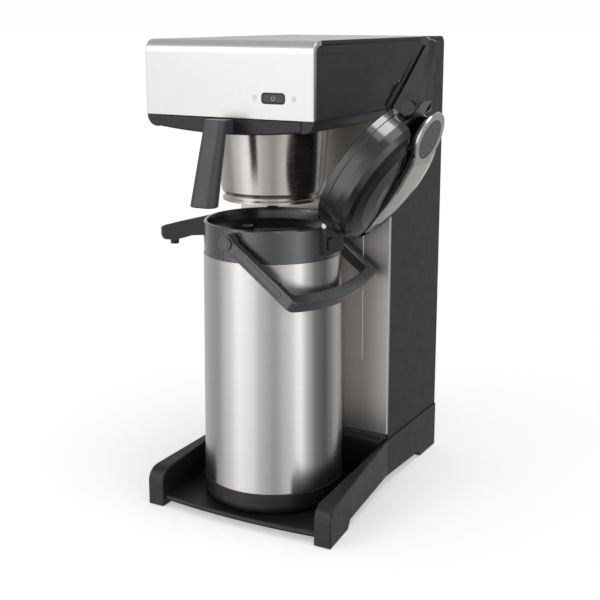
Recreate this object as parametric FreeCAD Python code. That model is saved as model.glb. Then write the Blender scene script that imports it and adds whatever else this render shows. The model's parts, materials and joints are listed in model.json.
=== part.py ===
"""Commercial filter coffee brewer that brews straight into a lever airpot.

Millimetres.  The shapes are drawn in the machine's own frame: X to the right seen from the
front, -Y towards the front, +Z up, with zero on the table at the middle of the base.  On export
every piece is moved by ROW_SHIFT, so that the row's origin is under the middle of its box.
"""
import FreeCAD, Part

import math
import os

Vector = FreeCAD.Vector
Placement = FreeCAD.Placement
Rotation = FreeCAD.Rotation

# ---------------------------------------------------------------- driving dimensions
HEIGHT = 545.0              # table to top of the head
BODY_HALF = 103.5           # half the width of head and column
HEAD_FRONT = -176.3         # front face of the head
COLUMN_FRONT = 14.6         # front face of the column
REAR = 170.0                # rear face of the machine
FACIA_LOW = 465.0           # lower edge of the steel front
BAND_LOW = 452.0            # underside of the head
PLINTH_TOP = 66.0           # top of the ledge under the column
SHOULDER = 58.5             # where the side panels stand on the base
SHEET = 1.2                 # stainless sheet
PANEL = 3.0                 # side panels
GAP = 0.3                   # seam between neighbouring covers

RAIL_FRONT = -170.0         # front of the two feet
RAIL_HALF_FRONT = 122.0     # half width over the feet at the front
RAIL_HALF_REAR = 104.8      # half width of the base beside the column
RAIL_INNER = 101.0          # inner face of the rails beside the tray
RAIL_TOP_FRONT = 46.0
SOLE = 1.0                  # soles stand this far up on their pads
TRAY_TOP = 14.0

STATION_Y = -82.6           # vertical axis of spray head, filter pan and airpot
POT_TURN = -3.0             # airpot turned about its axis, degrees
POT_FOOT = 14.3
RING_TOP = 40.0
SHELL_TOP = 306.0
COLLAR_TOP = 343.0
SHELL_R_LOW = 81.7
SHELL_R_TOP = 79.2
COLLAR_R = 78.8
LINER_R = 73.0
NECK_R = 44.0

BAIL_PIVOT_Z = 329.0
BAIL_ARM_Y = 86.6           # middle of each bail arm, from the airpot's axis
BAIL_ARM = 97.0             # pivot to corner
BAIL_BOW = 13.0             # the grip bulges this far past its corners
BAIL_DROOP = 35.5           # hanging angle below horizontal, degrees
BAIL_SECTION = (11.0, 14.0)  # across the arm, in the plane of the bail

HINGE_X = 80.0              # lid hinge pin, from the airpot's axis
HINGE_Z = 345.0
HINGE_WEB_LOW = 338.4       # floor of the notch in the collar's rim for the hinge
LUG_HALF = 19.0             # half width over the hinge knuckles
LID_R = 79.0
LID_OPEN = 122.3            # opened from closed, degrees
LEVER_PIVOT = (24.0, 34.0)  # along the lid, above its underside

PAN_R_TOP = 64.0
PAN_R_LOW = 57.3
PAN_TOP = 458.0
PAN_FOOT = 367.0

ROW_SHIFT = Vector(-22.2, 29.4, 0.0)


# ---------------------------------------------------------------- drawing helpers
def box(x, y, z):
    """Block between three (low, high) pairs."""
    return Part.makeBox(x[1] - x[0], y[1] - y[0], z[1] - z[0], Vector(x[0], y[0], z[0]))


def disc(radius, z, x=0.0, y=0.0):
    """Upright cylinder between two heights."""
    return Part.makeCylinder(radius, z[1] - z[0], Vector(x, y, z[0]))


def rod(radius, start, end):
    """Round bar between two points."""
    start = Vector(*start)
    run = Vector(*end) - start
    return Part.makeCylinder(radius, run.Length, start, run)


def path(steps):
    """Wire through steps, where a step is a point or (point, through) for an arc."""
    edges = []
    here = Vector(*steps[0])
    for step in steps[1:]:
        if isinstance(step[0], tuple):
            end = Vector(*step[0])
            edges.append(Part.Arc(here, Vector(*step[1]), end).toShape())
        else:
            end = Vector(*step)
            edges.append(Part.makeLine(here, end))
        here = end
    return Part.Wire(edges)


def flat(points, lift):
    """Closed flat face from points, each lifted to space by lift(a, b)."""
    corners = [lift(a, b) for a, b in points]
    return Part.Face(Part.makePolygon(corners + corners[:1]))


def side_prism(points, x):
    """Outline in (y, z), pulled along X between x[0] and x[1]."""
    return flat(points, lambda a, b: Vector(x[0], a, b)).extrude(Vector(x[1] - x[0], 0, 0))


def front_prism(points, y):
    """Outline in (x, z), pulled along Y between y[0] and y[1]."""
    return flat(points, lambda a, b: Vector(a, y[0], b)).extrude(Vector(0, y[1] - y[0], 0))


def plan_prism(points, z):
    """Outline in (x, y), pulled up between z[0] and z[1]."""
    return flat(points, lambda a, b: Vector(a, b, z[0])).extrude(Vector(0, 0, z[1] - z[0]))


def lathe(points, x=0.0, y=0.0):
    """Outline in (radius, z), turned about the upright axis through (x, y)."""
    face = flat(points, lambda a, b: Vector(x + a, y, b))
    return face.revolve(Vector(x, y, 0), Vector(0, 0, 1), 360)


def join(*shapes):
    """One solid from touching or overlapping shapes."""
    return shapes[0].multiFuse(list(shapes[1:])).removeSplitter()


def group(*shapes):
    """Separate solids that share one node."""
    return Part.makeCompound(list(shapes))


def mirrored(shape):
    """The same shape on the other side of the machine."""
    return shape.mirror(Vector(0, 0, 0), Vector(1, 0, 0))


def soften(shape, radius, chosen):
    """Round the edges whose middle point and direction satisfy chosen(middle, direction)."""
    picked = []
    for edge in shape.Edges:
        middle = edge.valueAt((edge.FirstParameter + edge.LastParameter) / 2)
        direction = edge.tangentAt((edge.FirstParameter + edge.LastParameter) / 2)
        if chosen(middle, direction):
            picked.append(edge)
    return shape.makeFillet(radius, picked)


def upright(middle, direction):
    return abs(direction.z) > 0.99


def across(middle, direction):
    return abs(direction.x) > 0.99


def fore_aft(middle, direction):
    return abs(direction.y) > 0.99


def pipe(radius, wire):
    """Round bar along a wire of straight runs and tangent arcs."""
    start = wire.Edges[0]
    centre = start.valueAt(start.FirstParameter)
    aim = start.tangentAt(start.FirstParameter)
    ring = Part.Wire(Part.makeCircle(radius, centre, aim))
    return wire.makePipeShell([ring], True, False)


def bend(before, corner, after, radius):
    """End of the first run, middle and end of the tangent arc that rounds a corner."""
    a = (Vector(*before) - Vector(*corner)).normalize()
    b = (Vector(*after) - Vector(*corner)).normalize()
    half = a.getAngle(b) / 2
    back = radius / math.tan(half)
    start = Vector(*corner) + a * back
    end = Vector(*corner) + b * back
    inward = (a + b).normalize()
    middle = Vector(*corner) + inward * (radius / math.sin(half) - radius)
    return tuple(start), tuple(middle), tuple(end)


def bent_path(corners, radius):
    """Wire through corners, every inner corner rounded to one radius."""
    steps = [corners[0]]
    for before, corner, after in zip(corners, corners[1:], corners[2:]):
        start, middle, end = bend(before, corner, after, radius)
        steps.append(start)
        steps.append((end, middle))
    steps.append(corners[-1])
    return path(steps)


def hollow_ring(outer, inner, z, x=0.0, y=0.0):
    """Upright ring between two radii."""
    return disc(outer, z, x, y).cut(disc(inner, z, x, y))


# ---------------------------------------------------------------- frames of the moving pieces
def on_pot(shape):
    """From the airpot's own frame, spout towards -X, to the machine."""
    turn = Rotation(Vector(0, 0, 1), POT_TURN)
    shape = shape.copy()
    shape.Placement = Placement(Vector(0, STATION_Y, 0), turn).multiply(shape.Placement)
    return shape


def on_lid(shape):
    """From the lid's frame (X along the lid from its pin, Z above its underside) to the machine."""
    face_front = Rotation(Vector(0, 0, 1), 180)
    swing = Rotation(Vector(0, 1, 0), LID_OPEN)
    shape = shape.copy()
    pose = Placement(Vector(HINGE_X, 0, HINGE_Z), swing.multiply(face_front))
    shape.Placement = pose.multiply(shape.Placement)
    return on_pot(shape)


# ---------------------------------------------------------------- base
PAD_YS = (-143.0, 145.0)
PAD_X = {-143.0: 110.0, 145.0: 94.0}


def rail_right():
    """Side rail: front and rear foot, arched underside, flared to the front."""
    side = side_prism([
        (RAIL_FRONT, SOLE), (-117, SOLE), (-110, 10), (9, 12.5), (113, 9), (120, SOLE),
        (REAR, SOLE), (REAR, SHOULDER), (COLUMN_FRONT, SHOULDER), (RAIL_FRONT, RAIL_TOP_FRONT - 1),
    ], (RAIL_INNER - 20, RAIL_HALF_FRONT + 3))
    side = soften(side, 17, lambda m, d: across(m, d) and m.y < RAIL_FRONT + 1 and m.z > 20)
    slope = (RAIL_HALF_FRONT - RAIL_HALF_REAR) / (COLUMN_FRONT - RAIL_FRONT)
    nose = RAIL_FRONT - 5
    flare = plan_prism([
        (RAIL_INNER, nose), (RAIL_HALF_FRONT + 5 * slope, nose), (RAIL_HALF_REAR, COLUMN_FRONT),
        (RAIL_INNER, COLUMN_FRONT),
    ], (0, 80))
    beside_tray = side.common(flare)
    beside_tray = soften(beside_tray, 1.6, lambda m, d: m.z > 24 and not across(m, d)
                         and not upright(m, d))
    under_column = side.common(box((RAIL_INNER - 17, RAIL_HALF_REAR), (COLUMN_FRONT, REAR), (0, 80)))
    rail = join(beside_tray, under_column)
    for y in PAD_YS:
        rail = rail.cut(pad_block(y, 0.2, (0, 3.2)))
    return rail


def pad_block(y, spare, z):
    """Block of a foot pad, or of its pocket when spare is added all round."""
    half_x = 5.5 + spare
    half_y = 18.0 + spare
    x = PAD_X[y]
    block = box((x - half_x, x + half_x), (y - half_y, y + half_y), z)
    return soften(block, 3.0 + spare, upright)


def foot_pads():
    """Four rubber pads let into the soles of the feet."""
    right = [pad_block(y, 0.0, (0, 3.0)) for y in PAD_YS]
    return group(*right, *[mirrored(pad) for pad in right])


def base_tray():
    """Tray between the rails, with a bowed, rolled front edge and a stop rib behind the airpot."""
    half = RAIL_INNER - 0.2
    ends = -166.0
    middle = -172.0
    front = Part.Arc(Vector(-half, ends, 0), Vector(0, middle, 0), Vector(half, ends, 0)).toShape()
    back = -0.3
    outline = Part.Wire([
        front, Part.makeLine(Vector(half, ends, 0), Vector(half, back, 0)),
        Part.makeLine(Vector(half, back, 0), Vector(-half, back, 0)),
        Part.makeLine(Vector(-half, back, 0), Vector(-half, ends, 0)),
    ])
    slab = Part.Face(outline).extrude(Vector(0, 0, 6.5))
    slab.translate(Vector(0, 0, TRAY_TOP - 6.5))
    slab = soften(slab, 2.9, lambda m, d: m.y < -150 and abs(d.x) > 0.5)
    slab = slab.cut(box((-half + 4, half - 4), (-158, back - 4), (0, TRAY_TOP - 3)))
    rib = hollow_ring(89, 86.5, (TRAY_TOP - 1, TRAY_TOP + 7), 0, STATION_Y)
    beside = box((-100, 100), (STATION_Y - 10, back), (0, 60))
    return join(slab, rib.common(beside))


def column_plinth():
    """Plastic foot of the column: ledge across the front, block between the rails behind it."""
    ledge_half = RAIL_INNER - 0.2
    ledge = side_prism([
        (0, 9), (COLUMN_FRONT - 0.2, 9), (COLUMN_FRONT - 0.2, PLINTH_TOP), (0, PLINTH_TOP),
    ], (-ledge_half, ledge_half))
    ledge = soften(ledge, 7.0, lambda m, d: across(m, d) and m.y < 1 and m.z > 50)
    block_half = RAIL_INNER - 17.3
    block = box((-block_half, block_half), (COLUMN_FRONT - 0.2, REAR), (12.5, SHOULDER))
    hollow = box((-block_half + 4, block_half - 4), (COLUMN_FRONT + 4, REAR - 4), (12, SHOULDER - 4))
    return join(ledge, block.cut(hollow))


# ---------------------------------------------------------------- housing
def side_outline(x):
    """Outline of a side panel: head and column in one inverted L."""
    front = HEAD_FRONT + 5.3
    top = HEIGHT
    lip = HEIGHT - 5.3
    steps = [
        (x, front, FACIA_LOW + GAP), (x, front, lip - 8),
        ((x, front + 8, lip), (x, front + 8 - 5.657, lip - 8 + 5.657)),
        (x, front + 11, lip), (x, front + 11, top), (x, REAR - 10, top),
        ((x, REAR, top - 10), (x, REAR - 10 + 7.071, top - 10 + 7.071)),
        (x, REAR, SHOULDER + GAP), (x, COLUMN_FRONT + 4, SHOULDER + GAP),
        (x, COLUMN_FRONT + 4, FACIA_LOW + GAP), (x, front, FACIA_LOW + GAP),
    ]
    return Part.Face(path(steps))


CATCH = ((-158.0, 540.0), (-101.0, 540.0), (-114.0, 531.5), (-158.0, 531.5))


def catch_prism(grow, depth):
    """Sloped tab of the cover catch, or its pocket when grow is more than zero."""
    low_y = CATCH[0][0] - grow
    points = [
        (low_y, CATCH[0][1] + grow), (CATCH[1][0] + 1.6 * grow, CATCH[1][1] + grow),
        (CATCH[2][0] + 0.6 * grow, CATCH[2][1] - grow), (low_y, CATCH[3][1] - grow),
    ]
    return side_prism(points, (BODY_HALF - depth, BODY_HALF))


def side_panel_right():
    """Matt side panel with a seam under its top edge and the pocket of the cover catch."""
    face = side_outline(BODY_HALF - PANEL)
    panel = face.extrude(Vector(PANEL, 0, 0))
    seam = box((BODY_HALF - 0.9, BODY_HALF + 1), (-157, REAR - 11), (540.6, 541.5))
    return panel.cut(seam).cut(catch_prism(0.5, 1.5))


def side_catches():
    """Spring catches that hold the steel cover, one in each side panel."""
    right = catch_prism(0.0, 1.4)
    return group(right, mirrored(right))


BUTTON_X = 56.3
BUTTON_Z = 486.7
LAMP_XS = (34.1, 80.2)


def rounded_slot(centre_x, centre_z, half_x, half_z, radius, y):
    """Rounded rectangle seen from the front, pulled along Y."""
    block = box((centre_x - half_x, centre_x + half_x), y, (centre_z - half_z, centre_z + half_z))
    return soften(block, radius, fore_aft)


def front_cover():
    """Stainless hood: front face, bent top edge and the fixed part of the top."""
    y0 = HEAD_FRONT
    bend_r = 13.0
    low = FACIA_LOW
    lid_front = -43.0

    def sheet_outline(inset, x):
        r = bend_r - inset
        cy = y0 + bend_r
        cz = HEIGHT - bend_r
        k = r * math.sqrt(0.5)
        return [(x, y0 + inset, low), (x, y0 + inset, cz),
                ((x, cy, HEIGHT - inset), (x, cy - k, cz + k)), (x, lid_front, HEIGHT - inset)]

    def skin(inner_inset, x, depth, back):
        outer = sheet_outline(0.0, x)
        inner = sheet_outline(inner_inset, x)
        outer[-1] = (x, back, HEIGHT)
        inner[-1] = (x, back, HEIGHT - inner_inset)
        outside = path(outer)
        inside = path(inner)
        ends = [Part.makeLine(Vector(*outer[0]), Vector(*inner[0])),
                Part.makeLine(Vector(*outer[-1]), Vector(*inner[-1]))]
        loop = Part.Wire(Part.__sortEdges__(outside.Edges + inside.Edges + ends))
        return Part.Face(loop).extrude(Vector(depth, 0, 0))

    sheet = skin(SHEET, -BODY_HALF, 2 * BODY_HALF, lid_front)
    side_cut = box((BODY_HALF - PANEL - GAP, BODY_HALF + 1), (y0 + 16, 0), (500, HEIGHT + 1))
    sheet = sheet.cut(side_cut).cut(mirrored(side_cut))
    lip = skin(5.0, BODY_HALF - SHEET, SHEET, y0 + 16)
    cover = join(sheet, lip, mirrored(lip))
    cover = soften(cover, 1.1, lambda m, d: upright(m, d) and m.y < y0 + 0.1 and m.z < 532)
    opening = rounded_slot(BUTTON_X, BUTTON_Z, 13.9, 5.75, 3.6, (y0 - 1, y0 + 3))
    cover = cover.cut(opening)
    for x in LAMP_XS:
        cover = cover.cut(rod(2.5, (x, y0 - 1, BUTTON_Z), (x, y0 + 3, BUTTON_Z)))
    return cover


def button_bezel():
    """Frame round the on/off button, clipped into the steel front."""
    y = HEAD_FRONT
    outer = rounded_slot(BUTTON_X, BUTTON_Z, 13.8, 5.65, 3.5, (y - 0.5, y + 8))
    inner = rounded_slot(BUTTON_X, BUTTON_Z, 12.6, 4.45, 2.3, (y - 1, y + 9))
    return outer.cut(inner)


def power_button():
    """Push button cap that slides in its bezel."""
    y = HEAD_FRONT
    cap = rounded_slot(BUTTON_X, BUTTON_Z, 12.5, 4.35, 2.2, (y - 0.3, y + 6))
    return soften(cap, 0.4, lambda m, d: m.y < y - 0.2)


def indicator_lenses():
    """Two lamp lenses beside the button."""
    lenses = []
    for x in LAMP_XS:
        lens = rod(2.4, (x, HEAD_FRONT - 0.6, BUTTON_Z), (x, HEAD_FRONT + 6, BUTTON_Z))
        lenses.append(soften(lens, 0.5, lambda m, d: m.y < HEAD_FRONT - 0.5))
    return group(*lenses)


FRAME_HALF = 88.0


def head_floor():
    """Plastic underside of the head: rounded side bands, deck and the bay for the filter pan."""
    top = FACIA_LOW - GAP
    r = 11.5
    k = r * math.sqrt(0.5)
    edge = BODY_HALF - 0.3
    inner = FRAME_HALF + 0.5
    y0 = HEAD_FRONT + 1.0
    steps = [
        (edge, y0, top), ((edge - r, y0, BAND_LOW), (edge - r + k, y0, BAND_LOW + r - k + 0.6)),
        (inner, y0, BAND_LOW), (inner, y0, top), (edge, y0, top),
    ]
    band = Part.Face(path(steps)).extrude(Vector(0, COLUMN_FRONT - 0.4 - y0, 0))
    bridge = box((-inner, inner), (-3, COLUMN_FRONT - 0.4), (BAND_LOW, top))
    deck = box((-edge + PANEL, edge - PANEL), (y0 + 1.5, COLUMN_FRONT - 0.4), (top - 0.1, top + 2))
    deck = deck.cut(disc(26, (top - 5, top + 5), 0, STATION_Y))
    return join(band, mirrored(band), bridge, deck)


def pan_guides():
    """Steel runners under the deck that carry the filter pan frame."""
    y = (HEAD_FRONT + 8, -4.0)
    wall = box((86.6, 88.2), y, (453, FACIA_LOW - 0.6))
    ledge = box((81.5, 88.2), y, (453, 454.5))
    runner = join(wall, ledge)
    return group(runner, mirrored(runner))


def spray_head():
    """Round shower plate under the deck with its inlet boss."""
    plate = lathe([(0, 461), (38, 461), (40, 463), (40, 464.5), (25.7, 464.5), (25.7, 476),
                   (8, 476), (8, 484), (0, 484)], 0, STATION_Y)
    holes = []
    for ring in (14, 28):
        for step in range(10):
            angle = step * math.tau / 10
            x = ring * math.cos(angle)
            y = STATION_Y + ring * math.sin(angle)
            holes.append(disc(1.2, (460, 463.2), x, y))
    return plate.cut(group(*holes))


# ---------------------------------------------------------------- column
def column_front_panel():
    """Stainless front of the column with folded edges and a shallow embossed field."""
    z = (PLINTH_TOP + GAP, BAND_LOW - 0.5)
    y0 = COLUMN_FRONT
    sheet = box((-BODY_HALF, BODY_HALF), (y0, y0 + SHEET), z)
    flange = box((BODY_HALF - SHEET, BODY_HALF), (y0, y0 + 3.6), z)
    panel = join(sheet, flange, mirrored(flange))
    panel = soften(panel, 1.1, lambda m, d: upright(m, d) and m.y < y0 + 0.1)
    raised = box((-69, 69), (y0 - 0.7, y0 + 0.1), (157, 330))
    raised = soften(raised, 3.0, fore_aft)
    return join(panel, raised)


def back_panel():
    """Removable rear cover with rows of cooling slots and the opening for the mains inlet."""
    z = (SHOULDER + GAP, HEIGHT - 16)
    half = BODY_HALF - PANEL - GAP
    panel = box((-half, half), (REAR - 2.0, REAR), z)
    panel = soften(panel, 6.0, lambda m, d: fore_aft(m, d))
    slots = []
    for row in range(8):
        for x in (-42, 0, 42):
            level = 330 + 14 * row
            slot = rounded_slot(x, level, 17, 2.2, 2.1, (REAR - 4, REAR + 1))
            slots.append(slot)
    panel = panel.cut(group(*slots))
    return panel.cut(rounded_slot(-62, 92, 15, 11, 3, (REAR - 4, REAR + 1)))


BACK_SCREWS = [(x, z) for x in (-90.0, 90.0) for z in (72.0, 220.0, 370.0, 518.0)]


def cover_screws():
    """Pan-head screws that hold the rear cover."""
    screws = []
    for x, z in BACK_SCREWS:
        head = rod(3.6, (x, REAR, z), (x, REAR + 1.9, z))
        head = soften(head, 1.2, lambda m, d: m.y > REAR + 1.8)
        cross = join(box((x - 2.2, x + 2.2), (REAR + 1, REAR + 3), (z - 0.5, z + 0.5)),
                     box((x - 0.5, x + 0.5), (REAR + 1, REAR + 3), (z - 2.2, z + 2.2)))
        screws.append(head.cut(cross))
    return group(*screws)


def mains_inlet():
    """Appliance inlet: flanged socket let into the rear cover, with three blades inside."""
    x, z = -62.0, 92.0
    body = rounded_slot(x, z, 14.8, 10.8, 2.8, (REAR - 26, REAR + 0.5))
    flange = rounded_slot(x, z, 20, 13.5, 4, (REAR, REAR + 2.2))
    cavity = rounded_slot(x, z, 12.3, 8.3, 2.2, (REAR - 18, REAR + 3))
    inlet = join(body, flange).cut(cavity)
    blades = [box((x + dx - 1, x + dx + 1), (REAR - 20, REAR - 7), (z + dz - 2, z + dz + 2))
              for dx, dz in ((-7, 2), (0, -3.5), (7, 2))]
    return join(inlet, *blades)


def chassis():
    """Folded steel frame inside the column that carries head, reservoir and heater."""
    half = BODY_HALF - PANEL - 0.4
    y = (COLUMN_FRONT + SHEET + 0.2, REAR - 6)
    z = (SHOULDER + 0.2, 463.0)
    wall = box((half - 1.5, half), y, z)
    web = box((-half, half), (y[0], y[0] + 1.5), (PLINTH_TOP + 4, 451.0))
    foot = box((-half, half), y, (SHOULDER + 0.2, SHOULDER + 1.7))
    window = box((half - 3, half + 1), (y[0] + 30, y[1] - 20), (120, 300))
    frame = join(wall, mirrored(wall), web, foot)
    return frame.cut(window).cut(mirrored(window))


RESERVOIR = ((-92.0, 92.0), (-34.0, 145.0), (474.5, 538.0))


def water_reservoir():
    """Open water tank in the head, under the lid, with a rolled rim and a drain neck."""
    x, y, z = RESERVOIR
    outside = soften(box(x, y, z), 14, upright)
    inside = box((x[0] + 2, x[1] - 2), (y[0] + 2, y[1] - 2), (z[0] + 2, z[1] + 1))
    inside = soften(inside, 12, upright)
    rim = box((x[0] - 3, x[1] + 3), (y[0] - 3, y[1] + 3), (z[1] - 2, z[1]))
    rim = soften(rim, 16, upright)
    tank = join(outside, rim).cut(inside)
    neck = disc(7, (z[0] - 9, z[0] + 1), 55, 110)
    return join(tank, neck).cut(disc(4.5, (z[0] - 12, z[0] + 5), 55, 110))


LID_PIN_Y = 154.0           # hinge pin of the reservoir lid
LID_PIN_Z = HEIGHT - 7.0
LID_SWEEP = 8.0             # room for the lid's rear edge round its pin


def reservoir_lid():
    """Hinged stainless lid over the reservoir, with a turned-down edge and two hinge ears."""
    half = BODY_HALF - PANEL - 0.6
    y = (-42.4, 157.0)
    plate = box((-half, half), y, (HEIGHT - 4.5, HEIGHT - 0.2))
    plate = soften(plate, 1.2, lambda m, d: m.z > HEIGHT - 1 and not upright(m, d))
    plate = plate.cut(box((-half + 1.5, half - 1.5), (y[0] + 1.5, y[1] + 1),
                          (HEIGHT - 6, HEIGHT - 1.7)))
    ears = []
    for x in (-78.0, 78.0):
        ear = box((x - 6, x + 6), (LID_PIN_Y - 3, LID_PIN_Y + 2.5), (LID_PIN_Z - 2.5, HEIGHT - 1.5))
        ears.append(ear.cut(rod(1.55, (x - 7, LID_PIN_Y, LID_PIN_Z), (x + 7, LID_PIN_Y, LID_PIN_Z))))
    return join(plate, *ears)


def lid_hinge_pins():
    """Two stub pins that carry the reservoir lid."""
    pins = []
    for side in (-1, 1):
        start = (side * 68.0, LID_PIN_Y, LID_PIN_Z)
        end = (side * 88.0, LID_PIN_Y, LID_PIN_Z)
        pins.append(rod(1.5, start, end))
    return group(*pins)


def top_frame():
    """Moulded bar behind the reservoir lid, coved for its rear edge, with four hinge knuckles."""
    half = BODY_HALF - PANEL - GAP
    low = HEIGHT - 15.5
    bar = box((-half, half), (157.6, REAR - GAP), (low, HEIGHT - 0.2))
    bar = soften(bar, 7.0, lambda m, d: across(m, d) and m.y > REAR - 1 and m.z > HEIGHT - 2)
    cove = rod(LID_SWEEP, (-half - 1, LID_PIN_Y, LID_PIN_Z), (half + 1, LID_PIN_Y, LID_PIN_Z))
    stand = box((-half - 1, half + 1), (150, LID_PIN_Y + LID_SWEEP), (LID_PIN_Z, HEIGHT + 1))
    bar = bar.cut(cove).cut(stand)
    knuckles = []
    for side in (-1, 1):
        for near, far in ((69.0, 71.5), (84.5, 87.0)):
            x = sorted((side * near, side * far))
            eye = rod(3.8, (x[0], LID_PIN_Y, LID_PIN_Z), (x[1], LID_PIN_Y, LID_PIN_Z))
            web = box(x, (LID_PIN_Y - 3.5, LID_PIN_Y + 2), (low, LID_PIN_Z))
            foot = box(x, (LID_PIN_Y - 3.5, 161.5), (low, HEIGHT - 11.8))
            knuckles.append(join(eye, web, foot))
    frame = join(bar, *knuckles)
    return frame.cut(rod(1.52, (-90, LID_PIN_Y, LID_PIN_Z), (90, LID_PIN_Y, LID_PIN_Z)))


# ---------------------------------------------------------------- water system
HEATER_Y = 95.0


def flow_heater():
    """Cast through-flow heater: oval block round a U-shaped tube, with end unions."""
    block = join(box((-30, 30), (HEATER_Y - 17, HEATER_Y + 17), (96, 236)),
                 rod(17, (-30, HEATER_Y, 96), (-30, HEATER_Y, 236)),
                 rod(17, (30, HEATER_Y, 96), (30, HEATER_Y, 236)))
    unions = [rod(6.5, (x, HEATER_Y, 230), (x, HEATER_Y, 252)) for x in (-28.0, 28.0)]
    feet = [box((x - 10, x + 10), (HEATER_Y - 15, HEATER_Y + 15), (SHOULDER + 1.7, 98))
            for x in (-24.0, 24.0)]
    return join(block, *unions, *feet)


def supply_hose():
    """Hose from the reservoir down to the heater."""
    route = [(55, 110, RESERVOIR[2][0] - 9.2), (55, 110, 330), (28, HEATER_Y, 300),
             (28, HEATER_Y, 252.2)]
    return pipe(5.5, bent_path(route, 22))


def riser_tube():
    """Tube that carries the hot water up the column and forward to the spray head."""
    level = 470.6
    boss_side = STATION_Y + 25.8
    route = [(-28, HEATER_Y, 252.2), (-28, HEATER_Y, 300), (0, 40, 380), (0, 40, level),
             (0, boss_side, level)]
    return pipe(3.2, bent_path(route, 14))


def thermostats():
    """Two safety thermostats clamped to the front of the heater."""
    switches = []
    for x in (-18.0, 18.0):
        face = HEATER_Y - 17.0
        body = rod(9, (x, face - 6, 180), (x, face, 180))
        cap = rod(6, (x, face - 12, 180), (x, face - 6, 180))
        tabs = box((x - 5, x + 5), (face - 19, face - 12), (178, 182))
        switches.append(join(body, cap, tabs))
    return group(*switches)


def control_board():
    """Circuit board behind the button, on pillars, with relay and lamp holders."""
    y = HEAD_FRONT + 13.0
    board = box((22, 96), (y, y + 1.6), (472, 512))
    relay = box((30, 50), (y + 1.6, y + 17), (492, 508))
    capacitor = rod(6, (80, y + 1.6, 500), (80, y + 20, 500))
    switch = box((BUTTON_X - 6, BUTTON_X + 6), (y - 4.6, y), (BUTTON_Z - 4, BUTTON_Z + 4))
    return join(board, relay, capacitor, switch)


def terminal_block():
    """Mains terminal block on the chassis foot."""
    block = box((-78, -42), (118, 134), (SHOULDER + 1.7, 84))
    for x in (-70.0, -60.0, -50.0):
        block = block.cut(disc(2.5, (78, 90), x, 126))
    return block


# ---------------------------------------------------------------- filter pan
def pan_frame():
    """Plastic carrier that slides on the runners: front bar, side flanges, hanging ring."""
    y0 = HEAD_FRONT + 0.3
    low = 447.0
    steps = [(-FRAME_HALF, y0, BAND_LOW + 0.5), ((FRAME_HALF, y0, BAND_LOW + 0.5), (0, y0, low)),
             (FRAME_HALF, y0, FACIA_LOW - 1), (-FRAME_HALF, y0, FACIA_LOW - 1),
             (-FRAME_HALF, y0, BAND_LOW + 0.5)]
    bar = Part.Face(path(steps)).extrude(Vector(0, 7, 0))
    bar = soften(bar, 2.0, lambda m, d: m.y < y0 + 0.1 and m.z < BAND_LOW + 2)
    plate = box((-86.0, 86.0), (y0 + 6, -8.0), (454.8, PAN_TOP - 0.2))
    ring = disc(PAN_R_TOP + 5, (449, PAN_TOP - 0.2), 0, STATION_Y)
    bore = disc(PAN_R_TOP + 0.6, (440, PAN_TOP + 5), 0, STATION_Y)
    return join(bar, plate, ring).cut(bore)


def pan_basket():
    """Stainless filter basket: flanged rim, tapered wall, stepped foot with a drain."""
    wall = 1.2
    profile = [
        (PAN_R_TOP + 7, PAN_TOP), (PAN_R_TOP + 7, PAN_TOP + wall), (PAN_R_TOP - wall, PAN_TOP + wall),
        (PAN_R_LOW + 0.4 - wall, 379), (54.5 - wall, 373), (54.5 - wall, 370),
        (8, 368.5), (8, PAN_FOOT), (56.4, PAN_FOOT), (56.4, 369.6), (54.5, 371.2), (54.5, 373.4),
        (PAN_R_LOW + 0.4, 378.4), (PAN_R_TOP, PAN_TOP - 4), (PAN_R_TOP, PAN_TOP),
    ]
    return lathe(profile, 0, STATION_Y)


def drip_valve():
    """Plastic outlet valve in the middle of the basket's floor."""
    return lathe([(3.5, 357), (7, 357), (7.8, 359), (7.8, 369), (13, 370.6), (13, 373), (3.5, 373)],
                 0, STATION_Y)


def pan_handle():
    """Forward-leaning grip of the filter pan, screwed to the frame's front bar."""
    neck = box((-8, 8), (-194, HEAD_FRONT + 0.2), (450, 463.5))
    slices = []
    for y, z, half, deep in ((-196.5, 464.5, 12.6, 12.6), (-203.5, 440, 13.3, 15.0),
                             (-211.5, 412, 14.0, 17.5), (-221.6, 376.5, 15.0, 20.0)):
        slices.append(rounded_slice(y, z, half, deep / 2, deep * 0.46))
    grip = Part.makeLoft(slices, True, True)
    grip = soften(grip, 1.6, lambda m, d: abs(d.z) < 0.01 and (m.z < 377 or m.z > 464))
    return join(neck, grip)


def rounded_slice(y, z, half_x, half_y, corner):
    """Level rounded rectangle round (0, y) at height z, as a wire."""
    slab = box((-half_x, half_x), (y - half_y, y + half_y), (z, z + 1))
    slab = soften(slab, corner, upright)
    for face in slab.Faces:
        if abs(face.CenterOfMass.z - z) < 0.01:
            return face.OuterWire


def handle_screws():
    """Two screws through the frame's front bar into the handle."""
    screws = []
    for x in (-6.0, 6.0):
        y = HEAD_FRONT + 7.3
        head = rod(2.5, (x, y, 461), (x, y + 2.0, 461))
        screws.append(soften(head, 0.9, lambda m, d: m.y > y + 1.9))
    return group(*screws)


# ---------------------------------------------------------------- airpot
def airpot_base_ring():
    """Plastic foot ring with a closed floor."""
    ring = lathe([
        (0, POT_FOOT + 4), (70, POT_FOOT + 4), (70, POT_FOOT), (77, POT_FOOT), (81.4, 20),
        (82.2, 24), (82.2, RING_TOP - 1), (81.4, RING_TOP), (79.6, RING_TOP), (79.6, 22), (0, 22),
    ])
    return on_pot(ring)


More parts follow.
